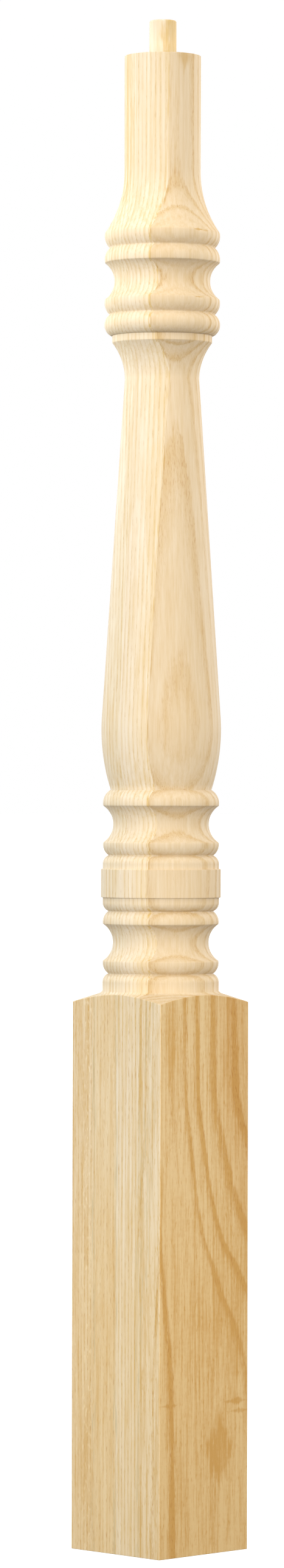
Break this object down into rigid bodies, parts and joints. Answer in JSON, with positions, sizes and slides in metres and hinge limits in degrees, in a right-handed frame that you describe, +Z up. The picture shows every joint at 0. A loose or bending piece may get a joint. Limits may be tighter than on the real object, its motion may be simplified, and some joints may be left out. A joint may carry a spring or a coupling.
{
  "type": "newel post",
  "caption": "Turned wooden newel post: square foot block, beads and coves, a tapered body and a round pin on top for a handrail fitting.",
  "frame": {"origin": "centre of the square foot, on the surface that the post stands on", "axes": "+Z up along the turning axis, X and Y square to the faces of the foot block; the picture looks at the edge between the +X and -Y faces"},
  "size_m": [0.0888, 0.0888, 1.0888],
  "materials": {
    "wood": "bare sanded pale hardwood"
  },
  "bodies": {
    "root": {"newel_post": "wood"}
  },
  "joints": []
}
